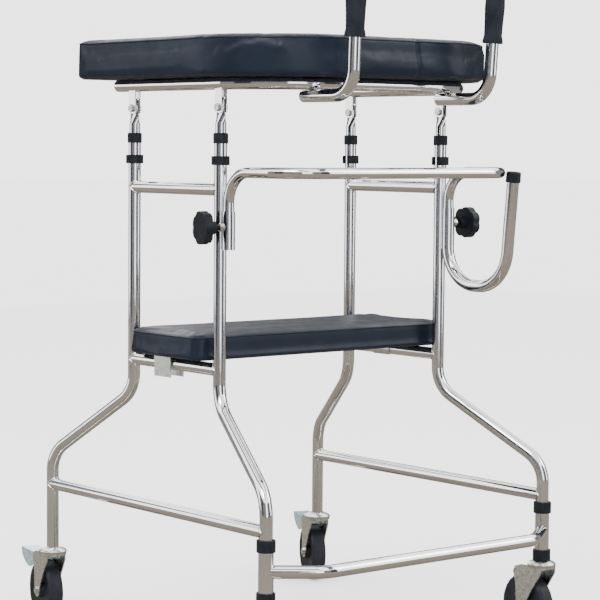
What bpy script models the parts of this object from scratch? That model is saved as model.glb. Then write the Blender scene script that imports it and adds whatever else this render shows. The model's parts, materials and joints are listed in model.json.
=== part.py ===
"""A forearm-support rollator walker: chromed tube frame, horseshoe armrest, flip-up seat, four casters.

Metres, +Z up, the floor at Z = 0. The walker faces -Y, so the user's right is -X.
"""

import math

import bmesh
import bpy
from mathutils import Matrix, Vector

# Tubes: outside radii, and the wall of the tubes that others slide in.
POST_R = 0.0111
INNER_R = 0.00955
SLEEVE_R = 0.0127
WALL = 0.0012
GAP = 0.0003
RUNNING = 0.00035
TUBE_SIDES = 12
BORE_SIDES = 16
SMALL_SIDES = 8
TURN_SIDES = 16
WHEEL_SIDES = 24

# Plan: half widths, and the Y of each line of posts and legs. PLAN_Y centres the whole walker on the origin.
PLAN_Y = -0.0058
POST_X = 0.2544
LEG_X = 0.3189
REAR_POST_Y = PLAN_Y + 0.1274
FRONT_POST_Y = PLAN_Y - 0.1274
REAR_LEG_Y = PLAN_Y + 0.2966
FRONT_LEG_Y = PLAN_Y - 0.3405

# Heights.
LEG_FOOT_Z = 0.1420
LEG_KNEE_Z = 0.318
LEG_HIP_Z = 0.445
POST_TOP_Z = 0.9052
LOWER_RAIL_Z = 0.261
SEAT_RAIL_Z = 0.504
UPPER_RAIL_Z = 0.813
CROSSBAR_Z = 0.196
CLIP_Z = 0.862
PIVOT_Z = 0.9525
ARM_TUBE_Z = 0.993
LEG_BEND_R = 0.060

# Front crossbar and the sleeves that carry it.
CROSSBAR_Y = PLAN_Y - 0.400
CROSSBAR_CORNER_X = 0.241
SLEEVE_LOW_Z = 0.147
SLEEVE_TOP_Z = 0.244
COLLAR_R = 0.0160
COLLAR_H = 0.020
COLLAR_STEP = 0.005

# Telescoping posts.
INNER_FOOT_Z = 0.560
INNER_ROUND_TOP_Z = 0.925
INNER_FLAT_Z = 0.942
INNER_TOP_Z = 0.970
FLAT_HALF_X = 0.003
FLAT_HALF_Y = 0.0122
BOLT_R = 0.004
BOLT_HEAD_R = 0.0068
BOLT_HEAD_H = 0.004
BUSHING_R = 0.013
BUSHING_H = 0.018
CLIP_R = 0.0158
CLIP_H = 0.0155
CLIP_PIN_R = 0.0025

# Armrest: tube, board, pad and handles.
ARM_FRONT_Y = PLAN_Y - 0.261
ARM_REAR_Y = PLAN_Y + 0.177
ARM_CORNER_R = 0.150
EAR_X = 0.005
EAR_T = 0.002
EAR_WIDTH = 0.020
EAR_LOW_Z = 0.9435
PAD_OFFSET = 0.049
PAD_REAR_Y = PLAN_Y + 0.254
PAD_END_R = 0.022
BOARD_INSET = 0.010
BOARD_T = 0.012
PAD_BOTTOM_Z = 1.0046
PAD_TOP_Z = 1.0740
HANDLE_X = 0.155
HANDLE_START_Y = PLAN_Y - 0.228
HANDLE_Y = PLAN_Y - 0.355
HANDLE_Z = 0.9722
HANDLE_BEND_R = 0.045
HANDLE_TOP_Z = 1.174
HANDLE_LEAN = math.radians(3.4)
HANDLE_SPLAY = math.radians(1.1)
GRIP_LOW_Z = 1.067
GRIP_LENGTH = 0.115

# Hoop, its sleeve, and the hook that is the other sleeve.
HOOP_Y = PLAN_Y - 0.151
HOOP_FRONT_Y = PLAN_Y - 0.326
HOOP_Z = 0.843
HOOP_FOOT_Z = 0.716
HOOP_RISE_R = 0.053
HOOP_CORNER_R = 0.070
SOCKET_LOW_Z = 0.711
SOCKET_TOP_Z = 0.776
HOOK_LOW_Z = 0.636
HOOK_BORE_Z = 0.705
HOOK_BEND_R = 0.0715
HOOK_CORNER_Y = PLAN_Y - 0.300
HOOK_TIP_Y = PLAN_Y - 0.3195
HOOK_TIP_Z = 0.842
KNOB_Z = 0.749
KNOB_R = 0.0285
KNOB_LOBES = 7
KNOB_T = 0.015
KNOB_X = 0.3015
KNOB_STUD = 0.029
STUD_R = 0.0040
KNOB_DIP = 0.0028
KNOB_NECK_R = 0.0110
KNOB_NECK = 0.014
KNOB_TURN = {"right": math.radians(12), "left": 0.0}
BOSS_R = 0.0068
BOSS_REACH = 0.018
SOCKET_BORE_TOP_Z = 0.800
SOCKET_THROUGH_Z = 0.600

# Seat.
SEAT_HALF_X = 0.292
SEAT_FRONT_Y = PLAN_Y - 0.112
SEAT_REAR_Y = PLAN_Y + 0.105
SEAT_BOTTOM_Z = 0.5185
SEAT_TOP_Z = 0.5635
SEAT_BOARD_T = 0.009
SEAT_CORNER_R = 0.026
SADDLE_Y = PLAN_Y + 0.020
SADDLE_LENGTH = 0.048

# Casters. Each yaw is the swivel's angle at rest, from trailing straight back.
WHEEL_R = 0.056
WHEEL_W = 0.028
TRAIL = 0.034
AXLE_R = 0.004
FORK_INNER = 0.0165
FORK_T = 0.0025
FORK_TOP_Z = 0.1310
FORK_END_R = 0.0125
PEDAL_PIVOT = (0.044, 0.120)
PEDAL_HALF_X = 0.0158
PEDAL_T = 0.0012
STEM_R = 0.0050
HEAD_R = 0.0265
HEAD_TOP_Z = LEG_FOOT_Z - GAP
KINGPIN_R = 0.0050
CASTER_YAW = {
    "rear_right": math.radians(-12),
    "front_right": math.radians(30),
    "rear_left": math.radians(-24),
    "front_left": math.radians(-3),
}

# Turns an outline drawn in (trail, height) to stand in the plane of Y and Z.
SIDE_VIEW = Matrix(((0, 0, 1, 0), (1, 0, 0, 0), (0, 1, 0, 0), (0, 0, 0, 1)))

SIDES = {"right": -1, "left": 1}

MATERIALS = {
    "chrome": ((0.78, 0.78, 0.80), 1.0, 0.12),
    "zinc": ((0.66, 0.68, 0.68), 1.0, 0.38),
    "blue_zinc": ((0.56, 0.68, 0.72), 1.0, 0.42),
    "steel": ((0.60, 0.60, 0.60), 1.0, 0.30),
    "vinyl": ((0.018, 0.024, 0.040), 0.0, 0.45),
    "black_plastic": ((0.014, 0.015, 0.018), 0.0, 0.50),
    "grip_rubber": ((0.016, 0.017, 0.021), 0.0, 0.62),
    "wheel_rubber": ((0.020, 0.021, 0.024), 0.0, 0.60),
    "board": ((0.030, 0.026, 0.022), 0.0, 0.80),
}


def clear_scene():
    for obj in list(bpy.data.objects):
        bpy.data.objects.remove(obj, do_unlink=True)


def new_collection(name, hidden):
    collection = bpy.data.collections.new(name)
    bpy.context.scene.collection.children.link(collection)
    collection.hide_render = hidden
    return collection


def make_material(name):
    color, metallic, roughness = MATERIALS[name]
    material = bpy.data.materials.new(name)
    material.use_nodes = True
    shader = material.node_tree.nodes["Principled BSDF"]
    shader.inputs["Base Color"].default_value = (*color, 1.0)
    shader.inputs["Metallic"].default_value = metallic
    shader.inputs["Roughness"].default_value = roughness
    return material


clear_scene()
WALKER = new_collection("rollator_walker", False)
CUTTERS = new_collection("cutters", True)
LOOKS = {name: make_material(name) for name in MATERIALS}


def add(name, data, look, parent=None):
    """A visible object of the walker."""
    obj = bpy.data.objects.new(name, data)
    data.materials.append(LOOKS[look])
    WALKER.objects.link(obj)
    obj.parent = parent
    return obj


def as_helper(obj):
    """Moves an object to the cutters."""
    for collection in list(obj.users_collection):
        collection.objects.unlink(obj)
    CUTTERS.objects.link(obj)
    obj.hide_render = True
    obj.display_type = "WIRE"
    return obj


def boolean(obj, tool, operation):
    modifier = obj.modifiers.new(operation.title(), "BOOLEAN")
    modifier.operation = operation
    modifier.solver = "EXACT"
    modifier.object = as_helper(tool)


def smooth(mesh, angle=40):
    mesh.shade_smooth()
    mesh.set_sharp_from_angle(angle=math.radians(angle))


def mesh_from(name, bm):
    mesh = bpy.data.meshes.new(name)
    bm.to_mesh(mesh)
    bm.free()
    smooth(mesh)
    return mesh


def box_mesh(name, low, high):
    low, high = Vector(low), Vector(high)
    bm = bmesh.new()
    bmesh.ops.create_cube(bm, size=1)
    bmesh.ops.scale(bm, vec=high - low, verts=bm.verts)
    bmesh.ops.translate(bm, vec=(low + high) / 2, verts=bm.verts)
    return mesh_from(name, bm)


def cylinder_mesh(name, start, end, radius, sides=TUBE_SIDES):
    """A closed cylinder between two points, with a corner of its outline in the plane of its axis and Z."""
    start, end = Vector(start), Vector(end)
    bm = bmesh.new()
    bmesh.ops.create_cone(
        bm, cap_ends=True, segments=sides, radius1=radius, radius2=radius, depth=(end - start).length
    )
    turn = (end - start).to_track_quat("Z", "Y").to_matrix().to_4x4()
    bmesh.ops.transform(bm, matrix=Matrix.Translation((start + end) / 2) @ turn, verts=bm.verts)
    return mesh_from(name, bm)


def bore_radius(radius, sides=BORE_SIDES):
    """The corner radius of a bore whose flats stand at this radius."""
    return radius / math.cos(math.pi / sides)


def bore(name, start, end, radius, sides=BORE_SIDES):
    return add(name, cylinder_mesh(name, start, end, bore_radius(radius, sides), sides), "steel")


def turned(name, profile, look, steps=TURN_SIDES, closed=False):
    """A profile of (radius, z) points, top to bottom down its outer side, turned round Z."""
    bm = bmesh.new()
    points = [bm.verts.new((radius, 0, z)) for radius, z in profile]
    for first, second in zip(points, points[1:]):
        bm.edges.new((first, second))
    if closed:
        bm.edges.new((points[-1], points[0]))
    obj = add(name, mesh_from(name, bm), look)
    screw = obj.modifiers.new("Turn", "SCREW")
    screw.steps = steps
    screw.render_steps = steps
    screw.use_merge_vertices = True
    screw.merge_threshold = 0.00001
    screw.use_smooth_shade = True
    return obj


def ring(name, outer, inner, low, high, look, steps=TURN_SIDES):
    profile = [(inner, high), (outer, high), (outer, low), (inner, low)]
    return turned(name, profile, look, steps, closed=True)


def rounded_path(corners, radii, segments=4):
    """The corners joined by straight runs, with each inner corner rounded to its radius."""
    corners = [Vector(corner) for corner in corners]
    path = [corners[0]]
    for before, corner, after, radius in zip(corners, corners[1:], corners[2:], radii):
        back = (before - corner).normalized()
        on = (after - corner).normalized()
        half = back.angle(on) / 2
        centre = corner + (back + on).normalized() * radius / math.sin(half)
        start = corner + back * radius / math.tan(half)
        spoke = start - centre
        axis = on.cross(back).normalized()
        for step in range(segments + 1):
            turn = Matrix.Rotation((math.pi - 2 * half) * step / segments, 3, axis)
            path.append(centre + turn @ spoke)
    return path + [corners[-1]]


def tube(name, path, radius, look="chrome", sides=TUBE_SIDES):
    """A solid tube along a path, as a mesh so that it can be cut."""
    curve = bpy.data.curves.new(name, "CURVE")
    curve.dimensions = "3D"
    curve.bevel_depth = radius
    curve.bevel_resolution = (sides - 4) // 2
    curve.use_fill_caps = True
    spline = curve.splines.new("POLY")
    spline.points.add(len(path) - 1)
    for point, place in zip(spline.points, path):
        point.co = (*place, 1)
    return curve_to_mesh(name, curve, look)


def plate(name, outline, thickness, look):
    """A flat plate in XY, centred on Z = 0."""
    curve = bpy.data.curves.new(name, "CURVE")
    curve.dimensions = "2D"
    curve.fill_mode = "BOTH"
    curve.extrude = thickness / 2
    spline = curve.splines.new("POLY")
    spline.points.add(len(outline) - 1)
    spline.use_cyclic_u = True
    for point, (x, y) in zip(spline.points, outline):
        point.co = (x, y, 0, 1)
    return curve_to_mesh(name, curve, look)


def curve_to_mesh(name, curve, look):
    source = bpy.data.objects.new(name + "_curve", curve)
    CUTTERS.objects.link(source)
    bpy.context.view_layer.update()
    graph = bpy.context.evaluated_depsgraph_get()
    mesh = bpy.data.meshes.new_from_object(source.evaluated_get(graph))
    bpy.data.objects.remove(source, do_unlink=True)
    bm = bmesh.new()
    bm.from_mesh(mesh)
    bmesh.ops.remove_doubles(bm, verts=bm.verts, dist=0.00001)
    bmesh.ops.recalc_face_normals(bm, faces=bm.faces)
    bm.to_mesh(mesh)
    bm.free()
    mesh.name = name
    mesh.materials.clear()
    smooth(mesh)
    return add(name, mesh, look)


def arc(centre, radius, start, end, segments):
    """Points of an arc in the plane, angles in degrees."""
    points = []
    for step in range(segments + 1):
        angle = math.radians(start + (end - start) * step / segments)
        points.append((centre[0] + radius * math.cos(angle), centre[1] + radius * math.sin(angle)))
    return points


def plan_corners():
    """Each corner's name, side sign, post Y and leg Y."""
    for side, sign in SIDES.items():
        yield f"rear_{side}", sign, REAR_POST_Y, REAR_LEG_Y
        yield f"front_{side}", sign, FRONT_POST_Y, FRONT_LEG_Y


def make_legs():
    for corner, sign, post_y, leg_y in plan_corners():
        x = sign * POST_X
        foot_x = sign * LEG_X
        corners = [
            (x, post_y, POST_TOP_Z),
            (x, post_y, LEG_HIP_Z),
            (foot_x, leg_y, LEG_KNEE_Z),
            (foot_x, leg_y, LEG_FOOT_Z),
        ]
        leg = tube(f"leg_{corner}", rounded_path(corners, [LEG_BEND_R] * 2), POST_R)
        top = bore(
            f"cut_{corner}_post", (x, post_y, INNER_FOOT_Z - 0.010), (x, post_y, 1.0), POST_R - WALL
        )
        boolean(leg, top, "DIFFERENCE")
        low, high = (foot_x, leg_y, 0.10), (foot_x, leg_y, 0.180)
        boolean(leg, bore(f"cut_{corner}_foot", low, high, STEM_R + RUNNING), "DIFFERENCE")
        start, end = (x, post_y, CLIP_Z), (x + sign * 0.03, post_y, CLIP_Z)
        pin = bore(f"cut_{corner}_pin", start, end, CLIP_PIN_R + GAP, SMALL_SIDES)
        boolean(leg, pin, "DIFFERENCE")


def make_rails():
    """Straight rails along Y, their ends hollowed to fit the tubes that they are welded between."""
    heights = {"upper": UPPER_RAIL_Z, "seat": SEAT_RAIL_Z, "lower": LOWER_RAIL_Z}
    for level, z in heights.items():
        for side, sign in SIDES.items():
            low = level == "lower"
            x = sign * (LEG_X if low else POST_X)
            rear = REAR_LEG_Y if low else REAR_POST_Y
            front = FRONT_LEG_Y if low else FRONT_POST_Y
            rail = tube(f"{level}_rail_{side}", [(x, front, z), (x, rear, z)], POST_R)
            for end, y in (("front", front), ("rear", rear)):
                fit = bore(
                    f"cut_{level}_{side}_{end}", (x, y, z - 0.03), (x, y, z + 0.03), POST_R + GAP
                )
                boolean(rail, fit, "DIFFERENCE")


def make_crossbar():
    corners = [
        (-LEG_X, FRONT_LEG_Y, CROSSBAR_Z),
        (-CROSSBAR_CORNER_X, CROSSBAR_Y, CROSSBAR_Z),
        (CROSSBAR_CORNER_X, CROSSBAR_Y, CROSSBAR_Z),
        (LEG_X, FRONT_LEG_Y, CROSSBAR_Z),
    ]
    bar = tube("front_crossbar", rounded_path(corners, [0.050] * 2), POST_R)
    for side, sign in SIDES.items():
        x = sign * LEG_X
        low, high = (x, FRONT_LEG_Y, SLEEVE_LOW_Z), (x, FRONT_LEG_Y, SLEEVE_TOP_Z)
        outside = cylinder_mesh(f"join_sleeve_{side}", low, high, SLEEVE_R, BORE_SIDES)
        boolean(bar, add(f"join_sleeve_{side}", outside, "chrome"), "UNION")
        inside = bore(
            f"cut_sleeve_{side}", (x, FRONT_LEG_Y, 0.10), (x, FRONT_LEG_Y, 0.30), POST_R + GAP
        )
        boolean(bar, inside, "DIFFERENCE")
        for end, z, flip in (("upper", SLEEVE_TOP_Z, 1), ("lower", SLEEVE_LOW_Z, -1)):
            make_sleeve_collar(f"sleeve_collar_{end}_{side}", (x, FRONT_LEG_Y, z), flip)


def make_sleeve_collar(name, place, flip):
    """A plastic collar round the upper end of a sleeve, its lip close to the leg."""
    lip = bore_radius(POST_R + GAP)
    skirt = bore_radius(SLEEVE_R + GAP)
    profile = [
        (lip, COLLAR_STEP),
        (COLLAR_R - 0.0007, COLLAR_STEP),
        (COLLAR_R, COLLAR_STEP - 0.0007),
        (COLLAR_R, COLLAR_STEP - COLLAR_H),
        (skirt, COLLAR_STEP - COLLAR_H),
        (skirt, GAP),
        (lip, GAP),
    ]
    collar = turned(name, profile, "black_plastic", closed=True)
    collar.location = place
    collar.rotation_euler.x = 0 if flip > 0 else math.pi


def make_bushings_and_clips():
    skirt = bore_radius(POST_R + GAP)
    lip = bore_radius(INNER_R + RUNNING)
    for corner, sign, post_y, _ in plan_corners():
        x = sign * POST_X
        profile = [
            (lip, 0.0038),
            (BUSHING_R - 0.001, 0.0038),
            (BUSHING_R, 0.0026),
            (BUSHING_R, 0.0038 - BUSHING_H),
            (skirt, 0.0038 - BUSHING_H),
            (skirt, GAP),
            (lip, GAP),
        ]
        bushing = turned(f"post_bushing_{corner}", profile, "black_plastic", closed=True)
        bushing.location = (x, post_y, POST_TOP_Z)
        make_clip(f"height_clip_{corner}", sign, (x, post_y, CLIP_Z))


def make_clip(name, sign, place):
    """An open ring round a post: its mouth is inboard, and its pin goes through the post's wall outboard."""
    clip = ring(name, CLIP_R, bore_radius(POST_R + GAP), -CLIP_H / 2, CLIP_H / 2, "black_plastic")
    clip.location = place
    centre = Vector(place)
    mouth_low = centre + Vector((-0.02 if sign > 0 else 0.004, -0.006, -0.02))
    mouth_high = centre + Vector((-0.004 if sign > 0 else 0.02, 0.006, 0.02))
    mouth = add("cut_" + name, box_mesh("cut_" + name, mouth_low, mouth_high), "steel")
    boolean(clip, mouth, "DIFFERENCE")
    pin_start = centre + Vector((sign * (POST_R - WALL + GAP), 0, 0))
    pin_end = centre + Vector((sign * (CLIP_R + 0.0012), 0, 0))
    pin = cylinder_mesh("join_" + name, pin_start, pin_end, CLIP_PIN_R, SMALL_SIDES)
    boolean(clip, add("join_" + name, pin, "black_plastic"), "UNION")


def make_inner_posts():
    for corner, sign, post_y, _ in plan_corners():
        x = sign * POST_X
        sections = [
            (INNER_FOOT_Z, INNER_R, INNER_R),
            (INNER_ROUND_TOP_Z, INNER_R, INNER_R),
            (INNER_FLAT_Z, FLAT_HALF_X, FLAT_HALF_Y),
            (INNER_TOP_Z - 0.003, FLAT_HALF_X, FLAT_HALF_Y),
            (INNER_TOP_Z, FLAT_HALF_X * 0.7, FLAT_HALF_Y * 0.8),
        ]
        post = add(f"inner_post_{corner}", loft_mesh(f"inner_post_{corner}", sections), "chrome")
        post.location = (x, post_y, 0)
        boolean(post, pivot_bore(f"cut_{corner}_pivot", x, post_y), "DIFFERENCE")
        make_pivot_bolt(f"pivot_bolt_{corner}", (x, post_y, PIVOT_Z))


def pivot_bore(name, x, post_y):
    start, end = (x - 0.02, post_y, PIVOT_Z), (x + 0.02, post_y, PIVOT_Z)
    return bore(name, start, end, BOLT_R + GAP, SMALL_SIDES)


def loft_mesh(name, sections):
    """A solid through elliptical sections, each (z, half x, half y)."""
    bm = bmesh.new()
    rings = []
    for z, half_x, half_y in sections:
        angles = [2 * math.pi * step / TUBE_SIDES for step in range(TUBE_SIDES)]
        rings.append([bm.verts.new((half_x * math.cos(a), half_y * math.sin(a), z)) for a in angles])
    for lower, upper in zip(rings, rings[1:]):
        for step in range(TUBE_SIDES):
            after = (step + 1) % TUBE_SIDES
            bm.faces.new((lower[step], lower[after], upper[after], upper[step]))
    bm.faces.new(reversed(rings[0]))
    bm.faces.new(rings[-1])
    return mesh_from(name, bm)


def make_pivot_bolt(name, place):
    """A hex bolt along X, with its nut inboard of the bracket's ears."""
    centre = Vector(place)
    reach = EAR_X + EAR_T / 2 + GAP
    half = Vector((reach + BOLT_HEAD_H - 0.001, 0, 0))
    bolt = add(name, cylinder_mesh(name, centre - half, centre + half, BOLT_R, SMALL_SIDES), "steel")
    for end, sign in (("head", -1), ("nut", 1)):
        near = centre + Vector((sign * reach, 0, 0))
        far = near + Vector((sign * BOLT_HEAD_H, 0, 0))
        hexagon = cylinder_mesh(f"join_{name}_{end}", near, far, BOLT_HEAD_R, 6)
        boolean(bolt, add(f"join_{name}_{end}", hexagon, "steel"), "UNION")


def make_armrest_frame():
    """The U tube under the pad, the two-eared bracket over each post, and the two handle tubes."""
    corners = [
        (-POST_X, ARM_REAR_Y, ARM_TUBE_Z),
        (-POST_X, ARM_FRONT_Y, ARM_TUBE_Z),
        (POST_X, ARM_FRONT_Y, ARM_TUBE_Z),
        (POST_X, ARM_REAR_Y, ARM_TUBE_Z),
    ]
    frame = tube("armrest_frame", rounded_path(corners, [ARM_CORNER_R] * 2, 8), POST_R)
    for side, sign in SIDES.items():
        handle = tube(f"join_handle_{side}", handle_path(sign), POST_R)
        boolean(frame, handle, "UNION")
    for corner, sign, post_y, _ in plan_corners():
        for place, ear_sign in (("outer", 1), ("inner", -1)):
            x = sign * POST_X + ear_sign * EAR_X
            low = (x - EAR_T / 2, post_y - EAR_WIDTH / 2, EAR_LOW_Z)
            high = (x + EAR_T / 2, post_y + EAR_WIDTH / 2, ARM_TUBE_Z - POST_R * 0.6)
            name = f"join_ear_{corner}_{place}"
            boolean(frame, add(name, box_mesh(name, low, high), "chrome"), "UNION")
        boolean(frame, pivot_bore(f"cut_{corner}_ears", sign * POST_X, post_y), "DIFFERENCE")


def handle_top(sign, z):
    """The handle's axis at this height above its bend."""
    rise = z - HANDLE_Z
    return Vector(
        (sign * (HANDLE_X + rise * math.tan(HANDLE_SPLAY)), HANDLE_Y - rise * math.tan(HANDLE_LEAN), z)
    )


def handle_path(sign):
    corners = [
        (sign * HANDLE_X, HANDLE_START_Y, HANDLE_Z),
        (sign * HANDLE_X, HANDLE_Y, HANDLE_Z),
        handle_top(sign, HANDLE_TOP_Z),
    ]
    return rounded_path(corners, [HANDLE_BEND_R])


def make_grips():
    """A moulded grip: a flared foot, a waist, a palm swell and a domed, closed top."""
    inside = bore_radius(POST_R + GAP)
    for side, sign in SIDES.items():
        low, high = handle_top(sign, GRIP_LOW_Z), handle_top(sign, GRIP_LOW_Z + GRIP_LENGTH)
        depth = (handle_top(sign, HANDLE_TOP_Z) - low).length + 2 * GAP
        profile = [
            (0, GRIP_LENGTH),
            (0.0095, GRIP_LENGTH),
            (0.0140, GRIP_LENGTH - 0.003),
            (0.0160, GRIP_LENGTH - 0.009),
            (0.0163, 0.088),
            (0.0175, 0.062),
            (0.0162, 0.032),
            (0.0157, 0.014),
            (0.0180, 0.004),
            (0.0176, 0.0),
            (inside, 0.0),
            (inside, depth),
            (0, depth),
        ]
        grip = turned(f"grip_{side}", profile, "grip_rubber")
        grip.location = low
        grip.rotation_mode = "QUATERNION"
        grip.rotation_quaternion = (high - low).to_track_quat("Z", "Y")


def horseshoe(offset_out, offset_in, rear_y, end_r):
    """The outline of a horseshoe that follows the armrest tube, open to the rear."""
    outer_r, inner_r = ARM_CORNER_R + offset_out, ARM_CORNER_R - offset_in
    corner_x, corner_y = POST_X - ARM_CORNER_R, ARM_FRONT_Y + ARM_CORNER_R
    outer_x, inner_x = POST_X + offset_out, POST_X - offset_in
    points = []
    points += arc((-outer_x + end_r, rear_y - end_r), end_r, 90, 180, 5)
    points += arc((-corner_x, corner_y), outer_r, 180, 270, 12)
    points += arc((corner_x, corner_y), outer_r, 270, 360, 12)
    points += arc((outer_x - end_r, rear_y - end_r), end_r, 0, 90, 5)
    points += arc((inner_x + end_r, rear_y - end_r), end_r, 90, 180, 5)
    points += arc((corner_x, corner_y), inner_r, 0, -90, 9)
    points += arc((-corner_x, corner_y), inner_r, -90, -180, 9)
    points += arc((-inner_x - end_r, rear_y - end_r), end_r, 0, 90, 5)
    return points


def slab(name, outline, low, high, look):
    made = plate(name, outline, high - low, look)
    made.location.z = (low + high) / 2
    return made


def make_padded(name, outline, inset_outline, pocket_outline, low, high, board_t):
    """A pad, and the board let into its underside."""
    slab(f"{name}_board", inset_outline, low, low + board_t, "board")
    pad = slab(f"{name}_pad", outline, low, high, "vinyl")
    pocket = slab(f"cut_{name}_pocket", pocket_outline, low - 0.02, low + board_t + GAP, "board")
    boolean(pad, pocket, "DIFFERENCE")


def make_armrest_pad():
    outlines = []
    for inset in (0, BOARD_INSET, BOARD_INSET - GAP):
        offset = PAD_OFFSET - inset
        outlines.append(horseshoe(offset, offset, PAD_REAR_Y - inset, PAD_END_R - inset))
    make_padded("armrest", *outlines, PAD_BOTTOM_Z, PAD_TOP_Z, BOARD_T)


def seat_outline(inset):
    half_x, radius = SEAT_HALF_X - inset, SEAT_CORNER_R - inset
    front, rear = SEAT_FRONT_Y + inset, SEAT_REAR_Y - inset
    points = []
    points += arc((half_x - radius, rear - radius), radius, 0, 90, 5)
    points += arc((-half_x + radius, rear - radius), radius, 90, 180, 5)
    points += arc((-half_x + radius, front + radius), radius, 180, 270, 5)
    points += arc((half_x - radius, front + radius), radius, 270, 360, 5)
    return points


def make_seat():
    outlines = [seat_outline(inset) for inset in (0, BOARD_INSET, BOARD_INSET - GAP)]
    make_padded("seat", *outlines, SEAT_BOTTOM_Z, SEAT_TOP_Z, SEAT_BOARD_T)
    make_hinge_saddle()
    make_open_saddle()


def make_hinge_saddle():
    """The clip that the seat turns on: a split ring round the left rail, under a flat foot."""
    half = Vector((0, SADDLE_LENGTH / 2, 0))
    centre = Vector((POST_X, SADDLE_Y, SEAT_RAIL_Z))
    name = "seat_saddle_left"
    saddle = add(name, cylinder_mesh(name, centre - half, centre + half, 0.0140, 24), "zinc")
    low = centre + Vector((-0.020, -SADDLE_LENGTH / 2, 0.010))
    high = Vector((POST_X + 0.020, SADDLE_Y + SADDLE_LENGTH / 2, SEAT_BOTTOM_Z - GAP))
    boolean(saddle, add("join_saddle_foot", box_mesh("join_saddle_foot", low, high), "zinc"), "UNION")
    inside = bore("cut_saddle_bore", centre - half * 2, centre + half * 2, POST_R + RUNNING)
    boolean(saddle, inside, "DIFFERENCE")
    slot_low = centre + Vector((-0.008, -SADDLE_LENGTH, -0.03))
    slot_high = centre + Vector((0.008, SADDLE_LENGTH, 0))
    slot = box_mesh("cut_saddle_slot", slot_low, slot_high)
    boolean(saddle, add("cut_saddle_slot", slot, "zinc"), "DIFFERENCE")


def make_open_saddle():
    """The plate that drops over the right rail when the seat is down."""
    centre = Vector((-POST_X, SADDLE_Y, 0))
    inside_x, outside_x = POST_R + 0.0015, POST_R + 0.0037
    low_z, floor_z = SEAT_RAIL_Z - 0.023, SEAT_RAIL_Z + POST_R + GAP
    half_y = SADDLE_LENGTH / 2
    name = "seat_saddle_right"
    low = centre + Vector((-outside_x, -half_y, low_z))
    high = centre + Vector((outside_x, half_y, SEAT_BOTTOM_Z - GAP))
    saddle = add(name, box_mesh(name, low, high), "zinc")
    low = centre + Vector((-inside_x, -2 * half_y, 0))
    high = centre + Vector((inside_x, 2 * half_y, floor_z))
    channel = add("cut_open_saddle", box_mesh("cut_open_saddle", low, high), "zinc")
    boolean(saddle, channel, "DIFFERENCE")


def make_hoop():
    corners = [
        (-POST_X, HOOP_Y, HOOP_FOOT_Z),
        (-POST_X, HOOP_Y, HOOP_Z),
        (-POST_X, HOOP_FRONT_Y, HOOP_Z),
        (POST_X, HOOP_FRONT_Y, HOOP_Z),
        (POST_X, HOOP_Y, HOOP_Z),
        (POST_X, HOOP_Y, HOOP_FOOT_Z),
    ]
    radii = [HOOP_RISE_R, HOOP_CORNER_R, HOOP_CORNER_R, HOOP_RISE_R]
    tube("front_hoop", rounded_path(corners, radii), INNER_R)
    straight = [(-POST_X, HOOP_Y, SOCKET_LOW_Z), (-POST_X, HOOP_Y, SOCKET_TOP_Z)]
    make_socket(tube("hoop_socket", straight, POST_R), "right", SOCKET_THROUGH_Z)
    corners = [
        (POST_X, HOOP_Y, SOCKET_TOP_Z),
        (POST_X, HOOP_Y, HOOK_LOW_Z),
        (POST_X, HOOK_CORNER_Y, HOOK_LOW_Z),
        (POST_X, HOOK_TIP_Y, HOOK_TIP_Z),
    ]
    hook = tube("carry_hook", rounded_path(corners, [HOOK_BEND_R] * 2, 6), POST_R)
    make_socket(hook, "left", HOOK_BORE_Z)
    make_hook_cap(Vector(corners[-1]), Vector(corners[-1]) - Vector(corners[-2]))


def knob_direction(side):
    """The way a clamping knob points: outboard, and turned a little to the rear."""
    turn = KNOB_TURN[side]
    return Vector((SIDES[side] * math.cos(turn), math.sin(turn), 0))


def make_socket(holder, side, bore_z):
    """Bores a tube for the hoop's leg, and gives it the threaded boss of its clamping knob."""
    x = SIDES[side] * POST_X
    centre, out = Vector((x, HOOP_Y, KNOB_Z)), knob_direction(side)
    boss_name = f"join_boss_{holder.name}"
    boss = cylinder_mesh(boss_name, centre, centre + out * BOSS_REACH, BOSS_R)
    boolean(holder, add(boss_name, boss, "chrome"), "UNION")
    low, high = (x, HOOP_Y, bore_z), (x, HOOP_Y, SOCKET_BORE_TOP_Z)
    boolean(holder, bore(f"cut_{holder.name}", low, high, INNER_R + RUNNING), "DIFFERENCE")
    far = centre + out * (BOSS_REACH + 0.012)
    thread = bore(f"cut_{holder.name}_stud", centre, far, STUD_R + GAP, SMALL_SIDES)
    boolean(holder, thread, "DIFFERENCE")
    make_knob(f"hoop_knob_{side}", centre + out * (KNOB_X - POST_X), out)


def make_knob(name, place, out):
    """A lobed hand knob with its stud, made along Z and turned to point outboard."""
    outline = []
    for step in range(KNOB_LOBES * 6):
        angle = 2 * math.pi * step / (KNOB_LOBES * 6)
        dip = 0.5 - 0.5 * math.cos(KNOB_LOBES * angle)
        radius = KNOB_R - KNOB_DIP * dip**3
        outline.append((radius * math.cos(angle), radius * math.sin(angle)))
    knob = plate(name, outline, KNOB_T, "black_plastic")
    back = -KNOB_T / 2
    neck = cylinder_mesh("join_neck_" + name, (0, 0, back - KNOB_NECK), (0, 0, 0), KNOB_NECK_R)
    boolean(knob, add("join_neck_" + name, neck, "black_plastic"), "UNION")
    stud = cylinder_mesh("join_stud_" + name, (0, 0, back - KNOB_STUD), (0, 0, 0), STUD_R, SMALL_SIDES)
    boolean(knob, add("join_stud_" + name, stud, "steel"), "UNION")
    pose = Matrix.Translation(place) @ out.to_track_quat("Z", "Y").to_matrix().to_4x4()
    knob.matrix_world = pose
    for helper in ("join_neck_", "join_stud_"):
        bpy.data.objects[helper + name].matrix_world = pose


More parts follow.
